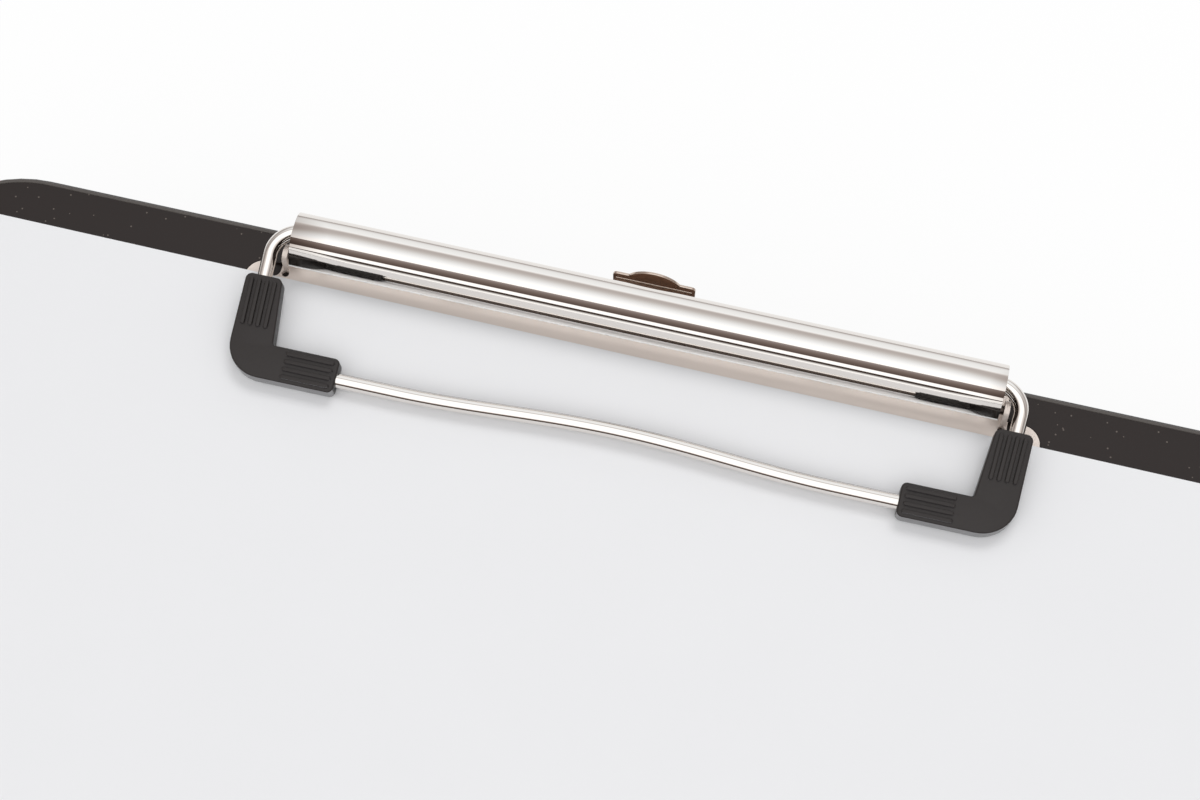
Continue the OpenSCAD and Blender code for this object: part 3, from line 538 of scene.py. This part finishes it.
# ---------- folded cover ----------
# The section: the roll's middle, radius and thickness, then the corners between its bands
ROLL_Y, ROLL_Z, ROLL_R, COVER_T = 6.3, 5.9, 2.9, 0.7
CREST, FOLD = Vector((3.87, 8.70)), Vector((3.02, 7.82))
LEDGE, LIP = Vector((2.68, 7.70)), Vector((1.03, 4.76))
# Angles in degrees: where the roll ends, how far each band turns, and where the lip starts and ends
ROLL_END, ROLL_TOP = -95, 90
TOP_TURN, FACET_TURN, FACE_TURN = 7.0, 8.0, 13.1
LIP_R, LIP_START, LIP_END = 0.9, 23.2, -58
ROLL_STEPS, TOP_STEPS, FACET_STEPS, FACE_STEPS, LIP_STEPS = 56, 10, 6, 20, 14
CORNER_R, CORNER_STEPS, COVER_CUTS, COVER_BEVEL = 0.05, 3, 12, 0.09
# Faces that get the painted highlight lie under this height above the lip's start and are this
# steep at most; faces of the sheared ends look to the side by more than this
HIGHLIGHT_OVER, HIGHLIGHT_STEEP, END_FACING = 0.1, 20, 0.7


def outward(angle):
    """The direction at this angle, from the front upwards."""
    return Vector((-math.cos(angle), math.sin(angle)))


def arc_between(a, b, turn, steps):
    """Points from a to b on an arc that bulges outward and turns by so many degrees."""
    half = math.radians(turn) / 2
    chord = b - a
    r = chord.length / (2 * math.sin(half))
    mean = math.atan2(-chord.x, -chord.y)
    centre = a - r * outward(mean + half)
    angles = [mean + half - 2 * half * k / steps for k in range(steps + 1)]
    return [centre + r * outward(angle) for angle in angles]


def cover_profile():
    """Section of the cover: the outer line from the roll's end over the top to the lip, then the
    inner one back."""
    outer = []
    for k in range(ROLL_STEPS):
        a = math.radians(ROLL_END + (ROLL_TOP - ROLL_END) * k / ROLL_STEPS)
        outer.append(Vector((ROLL_Y + ROLL_R * math.cos(a), ROLL_Z + ROLL_R * math.sin(a))))
    outer += arc_between(Vector((ROLL_Y, ROLL_Z + ROLL_R)), CREST, TOP_TURN, TOP_STEPS)
    outer += arc_between(CREST, FOLD, FACET_TURN, FACET_STEPS)[1:]
    outer.append(LEDGE)
    outer += arc_between(LEDGE, LIP, FACE_TURN, FACE_STEPS)[1:]
    centre = LIP - LIP_R * outward(math.radians(LIP_START))
    for k in range(1, LIP_STEPS + 1):
        a = math.radians(LIP_START + (LIP_END - LIP_START) * k / LIP_STEPS)
        outer.append(centre + LIP_R * outward(a))
    inner = []
    for i, p in enumerate(outer):
        along = outer[min(i + 1, len(outer) - 1)] - outer[max(i - 1, 0)]
        inner.append(p - COVER_T * Vector((along.y, -along.x)).normalized())
    radii = [CORNER_R if p in (CREST, FOLD, LEDGE) else 0.0 for p in outer] + [0.0] * len(inner)
    return rounded(outer + inner[::-1], radii, CORNER_STEPS)


def make_cover():
    half = (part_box("clip_cover")[1].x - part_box("clip_cover")[0].x) / 2 / MM
    materials = [COVER, DARK_STEEL, LIP_HIGHLIGHT]
    place = lambda y, z, x: at_clip(x, y, z)
    cover = prism("cover", cover_profile(), place, -half, half, materials, COVER_CUTS)
    bevel(cover, COVER_BEVEL, 2, 60)
    # The sheared ends aren't plated, and the rolled lip gets a near-white painted highlight
    for face in cover.data.polygons:
        steep = math.degrees(math.atan2(face.normal.z, -face.normal.y))
        lip = (face.center.z - FACE_Z) / MM < LIP.y + HIGHLIGHT_OVER and abs(steep) < HIGHLIGHT_STEEP
        end = abs(face.normal.x) > END_FACING
        face.material_index = 1 if end else 2 if lip else 0
    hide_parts("clip_cover")
    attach(cover, "clip_lever")


# ---------- wire bail ----------
WIRE_R, WIRE_GAP, WIRE_SIDES = 1.15, 0.1, 28
# The rear bar lies in the roll, against its wall at this angle
REAR_BAR_ANGLE = math.radians(-70)
BAR_DROP = ROLL_R - COVER_T - WIRE_R - WIRE_GAP
BAR_Y = ROLL_Y + BAR_DROP * math.cos(REAR_BAR_ANGLE)
BAR_Z = ROLL_Z + BAR_DROP * math.sin(REAR_BAR_ANGLE)
# The arms lean in by ARM_LEAN towards the front, and the right one is shorter by BAIL_SKEW
ARM_X, ARM_LEAN, BAIL_SKEW = 58.5, 1.0, 0.03
BEND_R, BEND_STEPS = 4.4, 14
FRONT_BAR_Y, GRIP_FRONT_W, GRIP_W, GRIP_H = 15.1, 5.5, 5.7, 2.9
# The part of the front leg's width in front of the bar, and the gap between grip and sheets
GRIP_AHEAD, GRIP_GAP = 0.45, 0.05
GRIP_FRONT_Y = FRONT_BAR_Y + GRIP_FRONT_W * GRIP_AHEAD
TILT = math.atan((BAR_Z - SHEET_TOP - GRIP_GAP - GRIP_H / 2) / (BAR_Y + GRIP_FRONT_Y))
BOW_H, BOW_HALF, BOW_STEPS = 1.45, 34.0, 40
# The front bar's side gets painted shade where its normal is between these degrees; it reaches this
# far back
SHADED_FROM, SHADED_TO, FRONT_BAR_REACH = 145, 250, 3


def in_bail(u, v, w):
    """A point of the bail's own plane, with v along it from the rear bar and w above it."""
    v *= 1 - BAIL_SKEW * (u + ARM_X) / (2 * ARM_X)
    y = BAR_Y + v * math.cos(TILT) - w * math.sin(TILT)
    return at_clip(u, y, BAR_Z + v * math.sin(TILT) + w * math.cos(TILT))


def along_bail(y):
    return -(y + BAR_Y) / math.cos(TILT)


def make_bail():
    v = along_bail(FRONT_BAR_Y)
    corners = [(-ARM_X, 0), (-ARM_X + ARM_LEAN, v), (ARM_X - ARM_LEAN, v), (ARM_X, 0)]
    path = rounded(corners, [BEND_R] * len(corners), BEND_STEPS)
    bow = [
        Vector((x, v + BOW_H * (1 + math.cos(math.pi * x / BOW_HALF)) / 2))
        for x in (BOW_HALF * (k / BOW_STEPS - 1) for k in range(2 * BOW_STEPS + 1))
    ]
    left = 2 * (BEND_STEPS + 1)
    line = [in_bail(p[0], p[1], 0) for p in path[:left] + bow + path[left:]]
    bail = tube("bail", line, WIRE_R, WIRE_SIDES, [WIRE, WIRE_SHADE], True)
    # The front bar's side towards the cover is painted dark as shade; the cover's face mirrors it
    # as a dark band
    for face in bail.data.polygons:
        behind = math.degrees(math.atan2(face.normal.z, -face.normal.y)) % 360
        front_bar = face.center.y < at_clip(0, -FRONT_BAR_Y + FRONT_BAR_REACH, 0).y
        face.material_index = 1 if front_bar and SHADED_FROM < behind < SHADED_TO else 0
    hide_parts("wire_bail")
    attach(bail, "clip_lever")


# ---------- grips ----------
# Rear ends of the left and the right grip, the inner end of the front legs, and the shift inward
GRIP_END_Y, GRIP_END_X, GRIP_INWARD = (1.7, 0.8), 43.0, 0.35
# How far the rear leg's middle and its outer and inner front corners follow the arm's lean
MID_LEAN, OUTER_LEAN, INNER_LEAN = 0.3, 0.6, 1.35
GRIP_RADII, GRIP_STEPS, GRIP_BEVEL = (1.0, 1.0, 5.5, 0.9, 0.9, 0.5), 10, 0.30
RIBS, RIB_L, RIB_W, RIB_H, RIB_SINK, RIB_BEVEL, RIB_STEPS = 4, 7.6, 0.70, 0.36, 0.2, 0.16, 8
# Room between the ribs and the grip's ends, beside the outer ribs in pitches, and their shift
RIB_MARGIN, RIB_BESIDE, RIB_SHIFT = 0.7, 0.7, 0.3
# A grip's face is upper or front by these parts of its normal
UPPER_FACING, FRONT_FACING = 0.45, -0.3


def rib(centre, angle, side):
    """One raised rib with round ends, standing on the grip's upper face."""
    r = RIB_W / 2
    outline = []
    for end in (1, -1):
        for k in range(RIB_STEPS + 1):
            t = math.pi * k / RIB_STEPS + (0 if end > 0 else math.pi)
            outline.append(Vector((r * math.cos(t), end * (RIB_L / 2 - r) + r * math.sin(t))))
    turn = Matrix.Rotation(angle, 2)
    outline = [turn @ p + centre for p in outline]
    place = lambda u, v, w: in_bail(side * u, v, w)
    top = GRIP_H / 2
    piece = prism("rib", outline, place, top - RIB_SINK, top + RIB_H, [GRIP_TOP])
    bevel(piece, RIB_BEVEL)
    return piece


def make_grip(side, name):
    mid = ARM_X - ARM_LEAN * MID_LEAN - GRIP_INWARD
    outer, inner = mid + GRIP_W / 2, mid - GRIP_W / 2
    outer_front, inner_front = outer - ARM_LEAN * OUTER_LEAN, inner - ARM_LEAN * INNER_LEAN
    end_v, front_v = along_bail(GRIP_END_Y[side > 0]), along_bail(GRIP_FRONT_Y)
    inner_v = front_v + GRIP_FRONT_W
    corners = [
        (inner, end_v), (outer, end_v), (outer_front, front_v),
        (GRIP_END_X, front_v), (GRIP_END_X, inner_v), (inner_front, inner_v),
    ]
    outline = rounded(corners, GRIP_RADII, GRIP_STEPS)
    place = lambda u, v, w: in_bail(side * u, v, w)
    materials = [GRIP_TOP, GRIP_FRONT_SHEEN, GRIP_WALL]
    grip = prism(name, outline, place, -GRIP_H / 2, GRIP_H / 2, materials)
    bevel(grip, GRIP_BEVEL, 4, 60)
    pieces = [grip]
    lean = -math.atan(ARM_LEAN / GRIP_FRONT_Y)
    pitch = GRIP_W / (RIBS + RIB_BESIDE)
    reach = RIB_MARGIN + RIB_L / 2
    for k in range(RIBS):
        across = (k - (RIBS - 1) / 2) * pitch
        pieces.append(rib(Vector((mid - RIB_SHIFT + across, end_v - reach)), lean, side))
        middle = Vector((GRIP_END_X + reach, front_v + GRIP_FRONT_W / 2 + across))
        pieces.append(rib(middle, math.pi / 2, side))
    join_pieces(pieces, grip)
    up = (in_bail(0, 0, 1) - in_bail(0, 0, 0)).normalized()
    # Front walls get the painted reflection of the paper; the other walls stay dark
    for face in grip.data.polygons:
        front = face.normal.y < FRONT_FACING
        face.material_index = 0 if face.normal.dot(up) > UPPER_FACING else 1 if front else 2
    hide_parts(("left_grip", "right_grip")[side > 0])
    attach(grip, "clip_lever")


# ---------- torsion springs ----------
PIN_Y, PIN_Z = 3.4, 2.8
COIL_R, COIL_WIRE, COIL_PITCH, COIL_TURNS, COIL_X = 1.2, 0.3, 1.05, 6, 26.0
COIL_STEPS, COIL_SIDES = 24, 10
# The lower leg lies over the base plate, with a gap; the upper one runs along the cover's face
LOWER_LEG, UPPER_LEG, PLATE_TOP, LEG_GAP = 3.4, 2.2, 0.2, 0.02


def make_spring(side, name):
    leg = Vector((LOWER_LEG, PLATE_TOP + COIL_WIRE + LEG_GAP - PIN_Z))
    start = math.atan2(leg.y, leg.x) - math.acos(COIL_R / leg.length)
    face = math.atan2(FOLD.y - LIP.y, FOLD.x - LIP.x)
    end = face + math.pi / 2 - math.tau * COIL_TURNS
    count = COIL_TURNS * COIL_STEPS
    line = [(0, leg.x, leg.y)]
    for k in range(count + 1):
        a = start + (end - start) * k / count
        across = (start - a) / math.tau * COIL_PITCH
        line.append((across, COIL_R * math.cos(a), COIL_R * math.sin(a)))
    x, y, z = line[-1]
    line.append((x, y + UPPER_LEG * math.sin(end), z - UPPER_LEG * math.cos(end)))
    points = [at_clip(side * (COIL_X + p[0]), PIN_Y + p[1], PIN_Z + p[2]) for p in line]
    spring = spring_tube(name, points)
    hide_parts(("left_torsion_spring", "right_torsion_spring")[side > 0])
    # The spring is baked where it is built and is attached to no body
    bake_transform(spring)


def spring_tube(name, line):
    """Tube whose rings keep to the X axis, so that it doesn't twist in the coil."""
    rings = []
    for i, p in enumerate(line):
        along = (line[min(i + 1, len(line) - 1)] - line[max(i - 1, 0)]).normalized()
        a = (Vector((1, 0, 0)) - along.x * along).normalized()
        rings.append(ring_round(p, a, along.cross(a), COIL_WIRE, COIL_SIDES))
    return skin(name, rings, [SPRING])


# ---------- hanger ----------
HANGER_W, HANGER_T, HANGER_TOP, HANGER_BACK = 13.0, 0.8, -0.62, -10.85
HEAD_W, HEAD_L = 18.0, 4.0
HOLE_R, HOLE_IN, HOLE_STEPS = 2.5, 3, 40
LIP_PLATE_Y, LIP_PLATE_Z, LIP_PLATE_T, LIP_PLATE_BEVEL = 12.0, 2.9, 0.42, 0.08
LIP_FOOT_R, LIP_SHOULDER_R = 0.3, 0.7
TAB_Z, TAB_W, TAB_STEPS = 5.2, 8.0, 10
BEAD_R, BEAD_SIDES, BEAD_Z, BEAD_INSET, BEAD_OUT = 0.14, 12, 1.55, 0.5, 0.02
# Welding in metres, the slack in sorting the hole's points, and what counts as a front face
HANGER_WELD, SLACK, FACE_FACING = 1e-6, 1e-6, -0.8


def hanger_tongue(w, low, hole_y):
    """The tongue in two halves, which meet at the hole's middle."""
    neck, h = HANGER_BACK + HEAD_L, HEAD_W / 2
    turns = [math.tau * k / HOLE_STEPS for k in range(HOLE_STEPS)]
    ring = [Vector((HOLE_R * math.cos(t), hole_y + HOLE_R * math.sin(t))) for t in turns]
    ring.sort(key=lambda p: p.x)
    front = [
        (w, hole_y), (w, neck), (h, neck), (h, HANGER_BACK),
        (-h, HANGER_BACK), (-h, neck), (-w, neck), (-w, hole_y),
    ]
    back = [(-w, hole_y), (-w, LIP_PLATE_Y), (w, LIP_PLATE_Y), (w, hole_y)]
    front = [Vector(p) for p in front] + [p for p in ring if p.y <= hole_y + SLACK]
    back = [Vector(p) for p in back] + [p for p in ring[::-1] if p.y >= hole_y - SLACK]
    return [
        prism("tongue_front", front, at_clip, low, HANGER_TOP, [HANGER]),
        prism("tongue_back", back, at_clip, low, HANGER_TOP, [HANGER]),
    ]


def make_hanger():
    """Flat tongue with its stop head and hole, and the upturned lip with its round thumb tab."""
    low, rear, w = HANGER_TOP - HANGER_T, LIP_PLATE_Y, HANGER_W / 2
    tongue = hanger_tongue(w, low, LIP_PLATE_Y - HOLE_R * HOLE_IN)
    rise, half = TAB_Z - LIP_PLATE_Z, TAB_W / 2
    r = (half * half + rise * rise) / (2 * rise)
    reach = math.asin(half / r)
    turns = [reach * (1 - k / TAB_STEPS) for k in range(2 * TAB_STEPS + 1)]
    tab = [Vector((r * math.sin(t), TAB_Z - r + r * math.cos(t))) for t in turns]
    lip = [Vector((-w, low)), Vector((w, low)), Vector((w, LIP_PLATE_Z))]
    lip += tab + [Vector((-w, LIP_PLATE_Z))]
    radii = [LIP_FOOT_R] * 2 + [LIP_SHOULDER_R] + [0.0] * len(tab) + [LIP_SHOULDER_R]
    place = lambda x, z, y: at_clip(x, y, z)
    materials = [HANGER, HANGER_PAINTED_SHADE]
    plate = prism("lip_plate", rounded(lip, radii), place, rear, rear + LIP_PLATE_T, materials)
    bevel(plate, LIP_PLATE_BEVEL)
    # The front faces of the lip and tab get the painted shade
    for face in plate.data.polygons:
        face.material_index = 1 if face.normal.y < FACE_FACING else 0
    ends = (-w + BEAD_INSET, 0, w - BEAD_INSET)
    line = [at_clip(x, rear + BEAD_OUT, BEAD_Z) for x in ends]
    bead = tube("lip_bead", line, BEAD_R, BEAD_SIDES, [HANGER], False)
    join_pieces([*tongue, plate, bead], plate, HANGER_WELD)
    plate.name = "hanger_sheet"
    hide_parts("hanger")
    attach(plate, "hanger")


# ---------- sheets ----------
SHEET_W, SHEET_L, SHEET_COUNT, SHEET_SEED = 210.0, 297.0, 5, 4
SHEET_TURN = math.radians(-0.34)
# The lower sheets turn by a share of that and lie a little in front of the top one; each sheet
# fills this part of its layer
TURN_SHARE, SHEET_BACK, SHEET_FILL = (0.75, 1.0), (0.05, 0.22), 0.92


def make_sheets():
    """A few loose sheets, each turned and moved a little; the top one lies as photographed."""
    draw = random.Random(SHEET_SEED)
    low = (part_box("paper_sheets")[0].z - FACE_Z) / MM
    each = (SHEET_TOP - low) / SHEET_COUNT
    pieces = []
    for k in range(SHEET_COUNT):
        top = k == SHEET_COUNT - 1
        turn = SHEET_TURN * (1 if top else draw.uniform(*TURN_SHARE))
        back = 0.0 if top else -draw.uniform(*SHEET_BACK)
        c, s = math.cos(turn), math.sin(turn)
        place = lambda x, y, z, c=c, s=s, back=back: at_clip(x * c - y * s, x * s + y * c + back, z)
        w = SHEET_W / 2
        corners = [Vector(p) for p in ((-w, -SHEET_L), (w, -SHEET_L), (w, 0), (-w, 0))]
        under, over = low + each * k, low + each * (k + SHEET_FILL)
        pieces.append(prism(f"sheet_{k}", corners, place, under, over, [PAPER]))
    stack = pieces[0]
    join_pieces(pieces, stack)
    stack.name = "sheets_stack"
    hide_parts("paper_sheets")
    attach(stack, "sheets")


# ---------- lip along the board's edge ----------
BOARD_HALF_X, BOARD_R, BOARD_STEPS = 117.0, 20.0, 24
LIP_INSET, LIP_BEAD_R, LIP_BEAD_SINK, LIP_BEAD_SIDES = 0.85, 0.32, 0.12, 12


def make_board_lip():
    """Low rounded bead that follows the outline of the writing plate."""
    low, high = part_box("lid")
    mid_y = (low.y + high.y) / 2
    hx, hy = BOARD_HALF_X - LIP_INSET, (high.y - low.y) / 2 / MM - LIP_INSET
    radii = [BOARD_R - LIP_INSET] * 4
    path = rounded([(-hx, -hy), (hx, -hy), (hx, hy), (-hx, hy)], radii, BOARD_STEPS)
    line = [Vector((p[0] * MM, mid_y + p[1] * MM, FACE_Z - LIP_BEAD_SINK * MM)) for p in path]
    # The bead's lighter grey is a painted highlight
    bead = tube("board_lip", line, LIP_BEAD_R, LIP_BEAD_SIDES, [BOARD_EDGE_HIGHLIGHT], True)
    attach(bead, "lid")


make_floor()
make_world()
make_lamps()
dress_cad_nodes()
make_cover()
make_bail()
make_grip(-1, "grip_left")
make_grip(1, "grip_right")
make_spring(-1, "spring_left")
make_spring(1, "spring_right")
make_hanger()
make_sheets()
make_board_lip()
